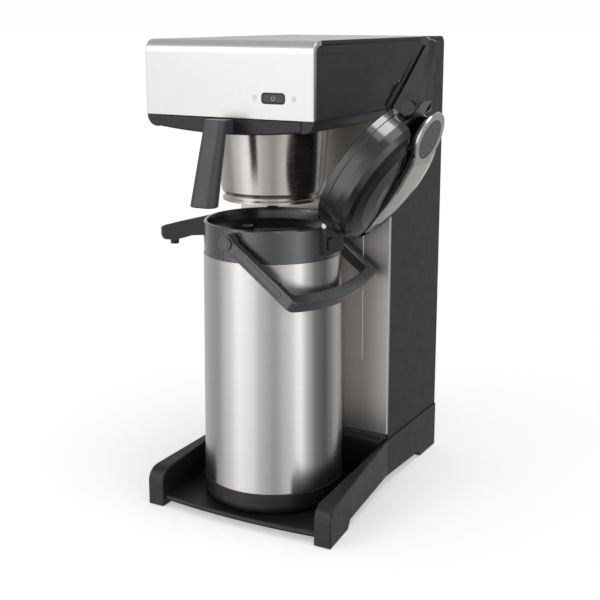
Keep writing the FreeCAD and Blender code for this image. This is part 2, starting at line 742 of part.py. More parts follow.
def airpot_shell():
    """Outer stainless shell, slightly tapered."""
    t = 0.9
    low = RING_TOP + 0.2
    shell = lathe([
        (SHELL_R_LOW - t, low), (SHELL_R_LOW, low), (SHELL_R_TOP, SHELL_TOP - 0.3),
        (SHELL_R_TOP - t, SHELL_TOP - 0.3),
    ])
    return on_pot(shell)


def flask_liner():
    """Vacuum flask inside the shell, with its rounded shoulder and neck."""
    t = 1.5
    z0 = 26.0
    shoulder = 268.0
    outside = lathe([
        (0, z0), (LINER_R - 14, z0), (LINER_R - 4, z0 + 5), (LINER_R, z0 + 16), (LINER_R, shoulder),
        (LINER_R - 5, shoulder + 16), (LINER_R - 17, shoulder + 29), (NECK_R + t, shoulder + 36),
        (NECK_R + t, 316), (0, 316),
    ])
    inside = lathe([
        (0, z0 + t), (LINER_R - 14.5, z0 + t), (LINER_R - 5, z0 + 6), (LINER_R - t, z0 + 17),
        (LINER_R - t, shoulder - 1), (LINER_R - 6.4, shoulder + 15), (LINER_R - 18, shoulder + 27.5),
        (NECK_R, shoulder + 35), (NECK_R, 320), (0, 320),
    ])
    return on_pot(outside.cut(inside))


def collar():
    """Plastic collar: outer band, rim and the funnel that leads into the flask's neck."""
    low = SHELL_TOP
    band = lathe([
        (76.4, low), (COLLAR_R, low), (COLLAR_R, COLLAR_TOP - 2), (COLLAR_R - 1, COLLAR_TOP - 0.4),
        (COLLAR_R - 2.5, COLLAR_TOP), (75.0, COLLAR_TOP - 0.8), (74.2, COLLAR_TOP - 4),
        (73.0, COLLAR_TOP - 13), (64, COLLAR_TOP - 19), (NECK_R + 3, COLLAR_TOP - 23),
        (NECK_R + 3, 316.4), (62, 318.5), (71, 324), (76.4, 330),
    ])
    seams = []
    for angle in (100.4, -100.4):
        a = math.radians(angle)
        seam = box((COLLAR_R - 0.7, COLLAR_R + 2), (-0.35, 0.35), (low - 1, COLLAR_TOP - 2.5))
        seam.rotate(Vector(0, 0, 0), Vector(0, 0, 1), math.degrees(a))
        seams.append(seam)
    band = band.cut(group(*seams))
    hinge_notch = box((72, 90), (-LUG_HALF - 0.4, LUG_HALF + 0.4), (HINGE_WEB_LOW, COLLAR_TOP + 5))
    return on_pot(band.cut(hinge_notch))


def neck_gasket():
    """Rubber ring between the flask's neck and the collar."""
    ring = lathe([(NECK_R - 1, 316.1), (NECK_R + 2.8, 316.1), (NECK_R + 2.8, 319.4),
                  (NECK_R + 0.5, 320.2), (NECK_R - 1, 319.4)])
    return on_pot(ring)


SPOUT_TIP = 160.0


def pour_spout():
    """Beak on the collar that carries the pouring nozzle, open along its top."""
    top = side_profile_beak(0.0)
    plan = plan_prism([(-72, -23), (-100, -19), (-140, -11.5), (-154, -9.5), (-SPOUT_TIP, -5),
                       (-SPOUT_TIP, 5), (-154, 9.5), (-140, 11.5), (-100, 19), (-72, 23)],
                      (290, 350))
    beak = top.common(plan)
    channel_plan = plan_prism([(-70, -19), (-100, -15.5), (-140, -8.5), (-152, -6.5), (-155, 0),
                               (-152, 6.5), (-140, 8.5), (-100, 15.5), (-70, 19)], (290, 360))
    channel = side_profile_beak(3.0).common(channel_plan)
    shell_hole = disc(COLLAR_R + 0.15, (280, 360))
    nozzle_bore = disc(5.2, (290, 330), -143)
    return on_pot(beak.cut(channel).cut(shell_hole).cut(nozzle_bore))


def side_profile_beak(inset):
    """Side outline of the spout, or of its open channel when inset is more than zero."""
    rise = 30.0 if inset else 0.0
    points = [(-70, 343 + rise), (-98, 336 + rise), (-148, 322.5 + rise), (-SPOUT_TIP, 317.5 + rise),
              (-SPOUT_TIP, 308 + inset), (-150, 304 + inset), (-132, 305.5 + inset),
              (-104, 315 + inset), (-84, 318 + inset), (-70, 318 + inset)]
    return front_prism(points, (-30, 30))


def pour_nozzle():
    """Outlet tube under the tip of the spout."""
    tube = lathe([(3.6, 298.5), (5.0, 298.5), (5.1, 300), (5.1, 309), (6.4, 309), (6.4, 311),
                  (3.6, 311)], -143)
    return on_pot(tube)


SIPHON_X = -35.0


def siphon_tube():
    """Dip tube that stands in the flask, held by a bracket in the funnel."""
    tube = hollow_ring(4.0, 2.8, (32, 330), SIPHON_X)
    cup = hollow_ring(6.5, 4.0, (318, 331), SIPHON_X)
    return on_pot(join(tube, cup))


def bail_pivots():
    """Stub axles on both sides of the collar that carry the bail."""
    stubs = []
    for side in (-1, 1):
        stub = rod(4.0, (0, side * (COLLAR_R - 1.5), BAIL_PIVOT_Z), (0, side * 92.6, BAIL_PIVOT_Z))
        cap = rod(7.6, (0, side * 92.6, BAIL_PIVOT_Z), (0, side * 94.4, BAIL_PIVOT_Z))
        rim = soften(cap, 0.8, lambda m, d: abs(m.y) > 94)
        stubs.append(on_pot(join(stub, rim).cut(disc(COLLAR_R, (300, 350)))))
    return group(*stubs)


def bail_handle():
    """Carrying bail: two flat arms and a bowed grip in one plane."""
    thick, deep = BAIL_SECTION
    eye = 9.5
    arms = []
    for side in (-1, 1):
        y = sorted((side * (BAIL_ARM_Y - thick / 2), side * (BAIL_ARM_Y + thick / 2)))
        start = rod(eye, (0, y[0], 0), (0, y[1], 0))
        arm = box((0, BAIL_ARM), y, (-deep / 2, deep / 2))
        arms.append(join(start, arm))
    half = BAIL_ARM_Y + thick / 2
    radius = (half ** 2 + BAIL_BOW ** 2) / (2 * BAIL_BOW)
    centre = BAIL_ARM + BAIL_BOW + deep / 2 - radius
    z = (-deep / 2, deep / 2)
    grip = disc(radius, z, centre).cut(disc(radius - 15, z, centre))
    grip = grip.common(box((BAIL_ARM - 30, 200), (-half, half), z))
    tidy = box((BAIL_ARM - 60, BAIL_ARM - 8), (-half - 1, half + 1), z)
    grip = grip.cut(tidy)
    bail = join(*arms, grip)
    bail = soften(bail, 9.0, lambda m, d: upright(m, d) and m.x > BAIL_ARM and abs(m.y) > half - 1)
    bail = soften(bail, 4.0, lambda m, d: upright(m, d) and m.x > 60 and abs(m.y) < half - 8)
    for side in (-1, 1):
        bail = bail.cut(rod(4.06, (0, side * 70, 0), (0, side * 110, 0)))
        bail = bail.cut(rod(8.0, (0, side * 92.3, 0), (0, side * 110, 0)))
    bail = soften(bail, 1.8, lambda m, d: abs(m.z) > deep / 2 - 0.1 and m.x > 20)
    droop = Rotation(Vector(0, 1, 0), BAIL_DROOP)
    bail.Placement = Placement(Vector(0, 0, BAIL_PIVOT_Z), droop)
    return on_pot(bail)


def hinge_bracket():
    """Bracket on the collar with the two knuckles of the lid hinge."""
    back = box((74, 83.0), (-LUG_HALF, LUG_HALF), (312, 338))
    knuckles = []
    for side in (-1, 1):
        y = sorted((side * 13.2, side * LUG_HALF))
        eye = rod(5.0, (HINGE_X, y[0], HINGE_Z), (HINGE_X, y[1], HINGE_Z))
        web = box((HINGE_X - 5, HINGE_X + 3), y, (336, HINGE_Z))
        knuckles.append(join(eye, web))
    bracket = join(back, *knuckles)
    bracket = bracket.cut(disc(COLLAR_R + 0.1, (300, HINGE_WEB_LOW + 0.1)))
    bore = rod(2.06, (HINGE_X, -30, HINGE_Z), (HINGE_X, 30, HINGE_Z))
    pocket = box((79.2, 84), (-16.6, -6.4), (317.4, 330.6))
    return on_pot(bracket.cut(bore).cut(pocket))


def lid_hinge_pin():
    """Pin of the airpot's lid hinge, with a head at each end."""
    pin = rod(2.0, (HINGE_X, -LUG_HALF - 0.2, HINGE_Z), (HINGE_X, LUG_HALF + 0.2, HINGE_Z))
    heads = []
    for side in (-1, 1):
        head = rod(3.4, (HINGE_X, side * (LUG_HALF + 0.1), HINGE_Z),
                   (HINGE_X, side * (LUG_HALF + 1.6), HINGE_Z))
        heads.append(soften(head, 0.7, lambda m, d: abs(m.y) > LUG_HALF + 1.5))
    return on_pot(join(pin, *heads))


def lid_release_button():
    """Square release key in the bracket, beside the hinge."""
    key = box((80.4, 85.0), (-16.2, -6.8), (317.8, 330.2))
    return on_pot(soften(key, 0.8, lambda m, d: m.x > 84.5))


# ---------------------------------------------------------------- airpot lid
DISC_L = 80.4               # middle of the lid's disc, along the lid from the pin


def lid_base():
    """Rim and floor of the lid, with the lug that turns on the hinge pin."""
    rim = lathe([
        (0, 3.0), (68, 3.0), (72, 0.0), (LID_R - 1, 0.0), (LID_R, 1.0), (LID_R, 8.2),
        (LID_R - 0.6, 8.8), (LID_R - 4, 8.8), (LID_R - 4, 6.0), (0, 6.0),
    ], DISC_L)
    rim = rim.cut(disc(4.6, (0, 10), 52))
    rim = rim.cut(disc(30, (0, 10), DISC_L))
    rim = rim.cut(rod(5.8, (0, -LUG_HALF - 2, 0), (0, LUG_HALF + 2, 0)))
    lug = join(rod(5.0, (0, -12.8, 0), (0, 12.8, 0)),
               box((-1.5, 9.5), (-12.8, 12.8), (-1.0, 8.8)))
    lug = lug.cut(disc(LID_R - 4.5, (-10, 5.9), DISC_L))
    return on_lid(join(rim, lug).cut(rod(2.06, (0, -20, 0), (0, 20, 0))))


DOME_TOP = 43.0
DOME_LOW = 9.0              # parting line between rim and dome


def dome_profile(inset):
    """Turned outline of the dome, or of its hollow when inset is more than zero."""
    side = LID_R - 0.3 - inset
    return lathe([
        (0, DOME_LOW - inset), (side, DOME_LOW - inset), (side - 0.5, 20), (side - 2.2, 29),
        (side - 5.5, 35 - inset / 2), (side - 11, 38.2 - inset), (side - 24, 40.8 - inset),
        (side - 45, 42.5 - inset), (0, DOME_TOP - inset),
    ], DISC_L)


def lid_dome():
    """Domed lid cover with a sunk channel for the pump lever."""
    wall = 2.4
    outer = dome_profile(0.0)
    channel = lever_channel(0.0)
    floor = lever_channel(wall)
    dome = join(outer.cut(dome_profile(wall)), floor.common(outer)).cut(channel)
    dome = dome.cut(disc(9.5, (10, 60), DISC_L))
    along, lift = LEVER_PIVOT
    return on_lid(dome.cut(rod(1.56, (along, -15.4, lift), (along, 15.4, lift))))


def lever_channel(grow):
    """Space sunk into the dome for the lever, grown by the wall when grow is more than zero."""
    high = DOME_TOP + 10
    well = disc(30.5 + grow, (20.5 - grow, high), 142)
    slot = plan_prism([(8, -9.5 - grow), (142, -21.5 - grow), (142, 21.5 + grow), (8, 9.5 + grow)],
                      (25.0 - grow, high))
    return join(well, slot)


def beak_section(along, foot, foot_half, ridge, ridge_half, crest, crest_half):
    """Wire across the nose: level foot, upright flanks up to the ridges, sloping to the crest."""
    half_outline = [(foot_half, foot), (ridge_half, ridge), (crest_half, crest)]
    other_half = [(-w, s) for w, s in reversed(half_outline)]
    corners = [Vector(along, w, s) for w, s in half_outline + other_half]
    return Part.makePolygon(corners + corners[:1])


def lid_nose():
    """Beak of the lid over the pouring spout, hollow underneath, with cheeks and a drip tip."""
    outside = Part.makeLoft([
        beak_section(146, 0.6, 25, 16.0, 24, 19.3, 18),
        beak_section(176.5, -4.0, 15.5, 14.5, 15, 20.0, 9),
        beak_section(205, -7.4, 9.5, 2.3, 9, 7.6, 4.5),
        beak_section(228, -10, 5, -7, 4.7, -2.2, 2),
        beak_section(231.5, -10, 3, -8.5, 2.8, -5, 1.5),
    ], True, True)
    low = -30
    hollow = Part.makeLoft([
        beak_section(140, low, 22.5, 13.5, 21.5, 16.6, 16),
        beak_section(176.5, low, 13.0, 12.0, 12.5, 17.4, 7.5),
        beak_section(205, low, 7.2, 0.2, 6.8, 5.2, 3.2),
        beak_section(220, low, 4.4, -6.5, 4.2, -2.5, 2),
    ], True, True)
    tip = soften(box((222.5, 230), (-3.8, 3.8), (-19.5, -7)), 1.5, lambda m, d: m.z < -19)
    cheeks = [rod(7.5, (165.5, side * 16.0, 13.5), (165.5, side * 22.0, 13.5)) for side in (-1, 1)]
    rivets = [rod(1.8, (165.5, side * 21.5, 14.5), (165.5, side * 22.6, 14.5)) for side in (-1, 1)]
    nose = join(outside.cut(hollow), tip, *cheeks, *rivets)
    return on_lid(nose.cut(disc(LID_R + 0.1, (-30, DOME_LOW), DISC_L)).cut(dome_profile(0.0)))


def pour_tube():
    """Outlet tube under the nose: elbow at the rim, clipped sleeve and thin run to the tip."""
    elbow = rod(4.8, (140, 0, -2.5), (148, 0, -13.0))
    sleeve = rod(6.0, (147, 0, -13.0), (176, 0, -13.6))
    run = rod(3.6, (175, 0, -13.6), (222.3, 0, -16.0))
    key = box((160, 171), (-2.2, 2.2), (-21.5, -18))
    bore = rod(2.1, (150, 0, -13.1), (224, 0, -16.1))
    return on_lid(join(elbow, sleeve, run, key).cut(bore))


def lid_gasket():
    """Rubber seal under the lid's rim."""
    ring = lathe([(46, -3.5), (49, -4.5), (53, -4.5), (56, -3.0), (56, 2.9), (46, 2.9)], DISC_L)
    return on_lid(ring)


def bellows():
    """Rubber pump bellows under the dome."""
    points = [(0, 6.2), (29.5, 6.2)]
    folds = 3
    pitch = 4.4
    for fold in range(folds):
        level = 7.0 + fold * pitch
        points.append((29.5, level))
        points.append((25.0, level + pitch / 2))
    top = 7.0 + folds * pitch
    points += [(29.0, top), (0, top)]
    return on_lid(lathe(points, DISC_L))


def lever_arm():
    """Pump lever: dark carrier that turns near the hinge and presses the bellows."""
    along, lift = LEVER_PIVOT
    side = front_prism([
        (along - 5, lift - 4), (along + 6, lift - 5), (62, 42), (100, 43), (118, 42.5), (145, 37.5),
        (167, 33.0), (168, 36), (145, 41.5), (118, 47.5), (63, 45.6), (34, 41.6),
        (along - 5, lift + 1.5),
    ], (-30, 30))
    plan = join(plan_prism([(18, -8), (140, -19), (140, 19), (18, 8)], (0, 80)),
                disc(25.5, (0, 80), 143))
    arm = side.common(plan)
    pusher = disc(7.5, (27.5, 43), DISC_L)
    eye = rod(4.8, (along, -7.6, lift), (along, 7.6, lift))
    bore = rod(1.56, (along, -30, lift), (along, 30, lift))
    return on_lid(join(arm, pusher, eye).cut(bore))


def lever_pin():
    """Pin that carries the pump lever in the dome."""
    along, lift = LEVER_PIVOT
    return on_lid(rod(1.5, (along, -15.2, lift), (along, 15.2, lift)))


def lever_trim():
    """Bright strip on top of the lever, ending in the ring round the badge."""
    top = front_prism([
        (20.5, 38.2), (34, 41.9), (63, 45.9), (118, 47.8), (145, 41.8), (174, 35.6), (174.5, 37.3),
        (145, 44.4), (118, 51.0), (63, 49.0), (34, 45.0), (19, 40.6),
    ], (-30, 30))
    plan = join(plan_prism([(17, -6.5), (34, -9), (80, -11.5), (126, -20), (126, 20), (80, 11.5),
                            (34, 9), (17, 6.5)], (0, 80)), disc(28, (0, 80), 146))
    seat = rod(21.2, (143.6, 0, 36), (148.6, 0, 58))
    return on_lid(top.common(plan).cut(seat))


def lever_badge():
    """Plain round inlay inside the ring."""
    lean = Vector(5.0, 0, 22.0).normalize()
    foot = Vector(145.0, 0, 42.1)
    badge = Part.makeCylinder(20.9, 2.0, foot, lean)
    badge = soften(badge, 0.8, lambda m, d: abs(d.y) > 0.5 and m.z > 43)
    return on_lid(badge)


# ---------------------------------------------------------------- the row
RAIL = rail_right()
SIDE = side_panel_right()

PIECES = {
    "base_rail_right": RAIL,
    "base_rail_left": mirrored(RAIL),
    "foot_pads": foot_pads(),
    "base_tray": base_tray(),
    "column_plinth": column_plinth(),
    "side_panel_right": SIDE,
    "side_panel_left": mirrored(SIDE),
    "side_catches": side_catches(),
    "front_cover": front_cover(),
    "button_bezel": button_bezel(),
    "power_button": power_button(),
    "indicator_lenses": indicator_lenses(),
    "head_floor": head_floor(),
    "pan_guides": pan_guides(),
    "spray_head": spray_head(),
    "column_front_panel": column_front_panel(),
    "back_panel": back_panel(),
    "cover_screws": cover_screws(),
    "mains_inlet": mains_inlet(),
    "chassis": chassis(),
    "water_reservoir": water_reservoir(),
    "reservoir_lid": reservoir_lid(),
    "lid_hinge_pins": lid_hinge_pins(),
    "top_frame": top_frame(),
    "flow_heater": flow_heater(),
    "supply_hose": supply_hose(),
    "riser_tube": riser_tube(),
    "thermostats": thermostats(),
    "control_board": control_board(),
    "terminal_block": terminal_block(),
    "pan_frame": pan_frame(),
    "pan_basket": pan_basket(),
    "drip_valve": drip_valve(),
    "pan_handle": pan_handle(),
    "handle_screws": handle_screws(),
    "airpot_base_ring": airpot_base_ring(),
    "airpot_shell": airpot_shell(),
    "flask_liner": flask_liner(),
    "airpot_collar": collar(),
    "neck_gasket": neck_gasket(),
    "pour_spout": pour_spout(),
    "pour_nozzle": pour_nozzle(),
    "siphon_tube": siphon_tube(),
    "bail_pivots": bail_pivots(),
    "bail_handle": bail_handle(),
    "hinge_bracket": hinge_bracket(),
    "airpot_hinge_pin": lid_hinge_pin(),
    "lid_release_button": lid_release_button(),
    "airpot_lid_base": lid_base(),
    "airpot_lid_dome": lid_dome(),
    "airpot_lid_nose": lid_nose(),
    "pour_tube": pour_tube(),
    "lid_gasket": lid_gasket(),
    "pump_bellows": bellows(),
    "pump_lever_arm": lever_arm(),
    "lever_pin": lever_pin(),
    "lever_trim": lever_trim(),
    "lever_badge": lever_badge(),
}

os.makedirs("parts", exist_ok=True)
for name, piece in PIECES.items():
    piece = piece.copy()
    piece.translate(ROW_SHIFT)
    piece.exportStep("parts/" + name + ".step")
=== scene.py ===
"""Looks of the commercial coffee brewer: materials, fine surface pieces, light and camera.

Metres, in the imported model's frame: +X to the right seen from the front, -Y to the front, +Z up.
"""
import json
import math

import bmesh
import bpy
from mathutils import Matrix, Vector


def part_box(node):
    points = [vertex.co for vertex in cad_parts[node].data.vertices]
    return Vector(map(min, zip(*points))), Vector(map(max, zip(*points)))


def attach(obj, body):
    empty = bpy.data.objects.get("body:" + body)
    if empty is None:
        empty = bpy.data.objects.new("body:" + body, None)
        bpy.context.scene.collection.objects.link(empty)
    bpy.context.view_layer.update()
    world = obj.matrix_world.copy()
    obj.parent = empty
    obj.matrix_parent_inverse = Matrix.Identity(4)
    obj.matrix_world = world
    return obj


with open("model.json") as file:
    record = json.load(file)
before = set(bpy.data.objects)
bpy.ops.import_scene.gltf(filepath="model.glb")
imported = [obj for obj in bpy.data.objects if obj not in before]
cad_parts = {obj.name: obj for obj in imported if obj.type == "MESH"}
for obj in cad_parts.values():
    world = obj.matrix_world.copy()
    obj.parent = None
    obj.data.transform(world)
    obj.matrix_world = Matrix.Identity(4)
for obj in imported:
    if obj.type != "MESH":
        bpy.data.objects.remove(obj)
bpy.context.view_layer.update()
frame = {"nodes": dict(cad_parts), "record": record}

NODES = frame["nodes"]
MM = 0.001


# ------------------------------------------------------------------ node helpers
class Shader:
    """A new material with its shader, and short calls for the nodes that feed it."""

    def __init__(self, name, colour, metallic=0.0, roughness=0.5, specular=0.5):
        self.material = bpy.data.materials.new(name)
        self.material.use_nodes = True
        self.tree = self.material.node_tree
        self.bsdf = self.tree.nodes["Principled BSDF"]
        self.set("Base Color", (*colour, 1.0))
        self.set("Metallic", metallic)
        self.set("Roughness", roughness)
        self.set("Specular IOR Level", specular)
        self.place = self.node("ShaderNodeTexCoord").outputs["Object"]

    def set(self, socket, value):
        self.bsdf.inputs[socket].default_value = value

    def node(self, kind, **values):
        made = self.tree.nodes.new(kind)
        for key, value in values.items():
            setattr(made, key, value)
        return made

    def join(self, source, target):
        self.tree.links.new(source, target)

    def stretched(self, scale):
        """Object coordinates multiplied by a scale per axis."""
        mapping = self.node("ShaderNodeMapping")
        mapping.inputs["Scale"].default_value = scale
        self.join(self.place, mapping.inputs["Vector"])
        return mapping.outputs["Vector"]

    def noise(self, vector, scale, detail=3.0, rough=0.55):
        made = self.node("ShaderNodeTexNoise")
        made.inputs["Scale"].default_value = scale
        made.inputs["Detail"].default_value = detail
        made.inputs["Roughness"].default_value = rough
        self.join(vector, made.inputs["Vector"])
        return made.outputs["Fac"]

    def ramp(self, factor, stops):
        """Colours or values along a factor; stops are (position, grey or colour)."""
        made = self.node("ShaderNodeValToRGB")
        elements = made.color_ramp.elements
        elements.remove(elements[1])
        for count, (position, value) in enumerate(stops):
            element = elements.new(position) if count else elements[0]
            element.position = position
            colour = value if isinstance(value, tuple) else (value, value, value)
            element.color = (*colour, 1.0)
        self.join(factor, made.inputs["Fac"])
        return made.outputs["Color"]

    def math(self, operation, a, b):
        made = self.node("ShaderNodeMath", operation=operation)
        for socket, value in zip(made.inputs, (a, b)):
            if isinstance(value, (int, float)):
                socket.default_value = value
            else:
                self.join(value, socket)
        return made.outputs[0]

    def mix(self, factor, a, b):
        """Colour between two colours or sockets."""
        made = self.node("ShaderNodeMix", data_type="RGBA")
        for name, value in (("Factor", factor), ("A", a), ("B", b)):
            socket = [s for s in made.inputs if s.name == name and s.enabled][-1]
            if isinstance(value, (int, float)):
                socket.default_value = value
            elif isinstance(value, tuple):
                socket.default_value = (*value, 1.0)
            else:
                self.join(value, socket)
        return [s for s in made.outputs if s.enabled][-1]

    def rounded(self, radius):
        """Normal with the CAD edges rounded off by a radius in metres."""
        made = self.node("ShaderNodeBevel", samples=4)
        made.inputs["Radius"].default_value = radius
        return made.outputs["Normal"]

    def edges(self, rounded):
        """1 along sharp edges, 0 on open faces."""
        face = self.node("ShaderNodeNewGeometry").outputs["Normal"]
        dot = self.node("ShaderNodeVectorMath", operation="DOT_PRODUCT")
        self.join(face, dot.inputs[0])
        self.join(rounded, dot.inputs[1])
        turn = self.math("SUBTRACT", 1.0, dot.outputs["Value"])
        return self.math("MULTIPLY", turn, 3.0)

    def bump(self, height, strength, distance, normal=None):
        made = self.node("ShaderNodeBump")
        made.inputs["Strength"].default_value = strength
        made.inputs["Distance"].default_value = distance
        self.join(height, made.inputs["Height"])
        if normal is not None:
            self.join(normal, made.inputs["Normal"])
        self.join(made.outputs["Normal"], self.bsdf.inputs["Normal"])


# ------------------------------------------------------------------ materials
def brushed_steel(name, colour, grain, roughness, spread=0.10, scratch=0.25, edge=0.0006):
    """Brushed stainless: streaks along the axis with the smallest grain scale."""
    s = Shader(name, colour, metallic=1.0, roughness=roughness)
    rounded = s.rounded(edge)
    streaks = s.noise(s.stretched(grain), 1.0, 5.0, 0.7)
    broad = s.noise(s.stretched(tuple(g * 0.12 for g in grain)), 1.0, 2.0)
    tone = s.mix(s.ramp(streaks, [(0.25, 0.0), (0.75, 1.0)]),
                 tuple(c * 0.93 for c in colour), tuple(min(1.0, c * 1.05) for c in colour))
    s.join(tone, s.bsdf.inputs["Base Color"])
    low, high = roughness - spread / 2, roughness + spread / 2
    mixed = s.math("MULTIPLY", s.math("ADD", streaks, broad), 0.5)
    s.join(s.ramp(mixed, [(0.3, low), (0.7, high)]), s.bsdf.inputs["Roughness"])
    s.bump(streaks, scratch, 0.00002, rounded)
    return s


def turned_steel(name, colour, roughness, ring_scale, scratch=0.10):
    """Stainless brushed round its upright axis, so that highlights spread up and down."""
    s = brushed_steel(name, colour, (3.0, 3.0, ring_scale), roughness, 0.06, scratch, 0.0004)
    s.set("Anisotropic", 0.85)
    s.set("Anisotropic Rotation", 0.25)
    around = s.node("ShaderNodeTangent", direction_type="RADIAL", axis="Z")
    s.join(around.outputs["Tangent"], s.bsdf.inputs["Tangent"])
    return s


def moulded_plastic(name, colour, roughness, grain=900.0, relief=0.16, edge=0.0006, wear=0.3):
    """Moulded plastic with a fine spark-eroded grain, slightly lighter and smoother on its edges."""
    s = Shader(name, colour, roughness=roughness, specular=0.5)
    rounded = s.rounded(edge)
    worn = s.edges(rounded)
    cloud = s.noise(s.place, 9.0, 4.0)
    base = s.mix(cloud, tuple(c * 0.88 for c in colour), tuple(c * 1.12 for c in colour))
    s.join(s.mix(s.math("MULTIPLY", worn, wear), base, tuple(min(1, c * 2.2 + 0.01) for c in colour)),
           s.bsdf.inputs["Base Color"])
    fine = s.noise(s.place, grain, 2.0, 0.6)
    s.join(s.ramp(s.noise(s.place, 35.0, 5.0, 0.65), [(0.3, roughness - 0.06), (0.7, roughness + 0.06)]),
           s.bsdf.inputs["Roughness"])
    s.bump(fine, relief, 0.00008, rounded)
    return s


def gloss_plastic(name, colour, roughness, edge=0.0005):
    """Polished moulding with faint flow marks and dust-fine roughness changes."""
    s = Shader(name, colour, roughness=roughness, specular=0.5)
    rounded = s.rounded(edge)
    flow = s.noise(s.stretched((14.0, 14.0, 40.0)), 1.0, 3.0)
    s.join(s.mix(flow, tuple(c * 0.8 for c in colour), tuple(c * 1.25 for c in colour)),
           s.bsdf.inputs["Base Color"])
    smear = s.noise(s.place, 22.0, 6.0, 0.7)
    s.join(s.ramp(smear, [(0.35, roughness), (0.75, roughness + 0.07)]), s.bsdf.inputs["Roughness"])
    s.bump(s.noise(s.place, 60.0, 2.0), 0.05, 0.0002, rounded)
    return s


def glossed(shader, specular, coat, coat_roughness):
    """Polished moulded skin: stronger mirror reflection under a clear coat."""
    shader.set("Specular IOR Level", specular)
    shader.set("Coat Weight", coat)
    shader.set("Coat Roughness", coat_roughness)
    return shader


def coated_metal(name, colour, roughness):
    """Matt powder coat with its fine orange peel."""
    s = Shader(name, colour, roughness=roughness, specular=0.4)
    rounded = s.rounded(0.0006)
    cloud = s.noise(s.place, 5.0, 3.0)
    s.join(s.mix(cloud, tuple(c * 0.93 for c in colour), tuple(c * 1.07 for c in colour)),
           s.bsdf.inputs["Base Color"])
    peel = s.noise(s.place, 650.0, 3.0, 0.6)
    s.join(s.ramp(s.noise(s.place, 60.0, 4.0), [(0.3, roughness - 0.05), (0.7, roughness + 0.05)]),
           s.bsdf.inputs["Roughness"])
    s.bump(peel, 0.12, 0.0001, rounded)
    return s


def rubber(name, colour):
    """Dull rubber with a coarse grain."""
    s = moulded_plastic(name, colour, 0.75, grain=500.0, relief=0.25, wear=0.1)
    s.set("Specular IOR Level", 0.3)
    return s


MATERIALS = {
    "front_steel": brushed_steel("front_steel", (0.74, 0.73, 0.722), (2600, 60, 22), 0.34),
    # Painted shade, in part: the front's brushed stainless made rougher, with its colour a little darker
    # and warmer for the shade under the head's overhang.
    "column_steel": brushed_steel("column_steel", (0.74, 0.715, 0.695), (2200, 60, 18), 0.40),
    "airpot_steel": turned_steel("airpot_steel", (0.72, 0.70, 0.685), 0.24, 2600),
    "pan_steel": turned_steel("pan_steel", (0.64, 0.60, 0.56), 0.26, 1500, 0.14),
    "inner_steel": brushed_steel("inner_steel", (0.60, 0.60, 0.59), (300, 300, 90), 0.4),
    "bright_metal": brushed_steel("bright_metal", (0.62, 0.62, 0.61), (900, 900, 900), 0.22, 0.05, 0.05),
    "side_coat": coated_metal("side_coat", (0.026, 0.0245, 0.0255), 0.50),
    "base_plastic": moulded_plastic("base_plastic", (0.012, 0.012, 0.014), 0.40),
    "handle_plastic": moulded_plastic("handle_plastic", (0.050, 0.051, 0.055), 0.42),
    "bail_plastic": glossed(
        moulded_plastic("bail_plastic", (0.040, 0.041, 0.044), 0.30, relief=0.14, wear=0.15),
        0.9, 0.5, 0.25),
    "collar_plastic": glossed(
        moulded_plastic("collar_plastic", (0.022, 0.022, 0.026), 0.24, relief=0.04, wear=0.5),
        1.0, 1.0, 0.16),
    "lid_plastic": glossed(gloss_plastic("lid_plastic", (0.004, 0.004, 0.006), 0.12), 0.9, 0.6, 0.06),
    # Painted light: the lid's gloss black copied for the nose, with a lighter base colour and no coat,
    # so that the nose reads mid grey.
    "nose_plastic_painted_light": gloss_plastic("nose_plastic_painted_light", (0.016, 0.016, 0.019), 0.17),
    "trim_metal": brushed_steel("trim_metal", (0.62, 0.585, 0.53), (400, 400, 400), 0.24, 0.08, 0.1),
    "badge_plastic": gloss_plastic("badge_plastic", (0.045, 0.045, 0.05), 0.22),
    "clear_lens": gloss_plastic("clear_lens", (0.72, 0.72, 0.70), 0.18),
    "natural_plastic": moulded_plastic("natural_plastic", (0.62, 0.62, 0.58), 0.4, wear=0.05),
    "rubber": rubber("rubber", (0.018, 0.018, 0.018)),
    "hose_rubber": rubber("hose_rubber", (0.5, 0.5, 0.48)),
    "cast_alloy": brushed_steel("cast_alloy", (0.55, 0.55, 0.55), (260, 260, 260), 0.5, 0.15, 0.5),
    "board_green": gloss_plastic("board_green", (0.02, 0.16, 0.06), 0.3),
    "block_white": moulded_plastic("block_white", (0.7, 0.7, 0.66), 0.45, wear=0.05),
}
SLOT_OF = {part["node"]: part["material_slot"] for part in frame["record"]["subparts"]}
# Nodes whose finish differs a little from the rest of their slot; the nose's is the lid's black with a
# lighter colour, as painted light.
FINER_LOOK = {"bail_handle": "bail_plastic", "bail_pivots": "bail_plastic",
              "airpot_lid_nose": "nose_plastic_painted_light", "side_catches": "base_plastic"}
for node, thing in NODES.items():
    thing.data.materials.clear()
    thing.data.materials.append(MATERIALS[FINER_LOOK.get(node, SLOT_OF[node])].material)


# ------------------------------------------------------------------ fine surface pieces
def new_piece(name, form, look, body):
    """Object from a bmesh, with its finish, riding a body of the frame."""
    mesh = bpy.data.meshes.new(name)
    form.to_mesh(mesh)
    form.free()
    for face in mesh.polygons:
        face.use_smooth = True
    piece = bpy.data.objects.new(name, mesh)
    bpy.context.scene.collection.objects.link(piece)
    mesh.materials.append(MATERIALS[look].material)
    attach(piece, body)


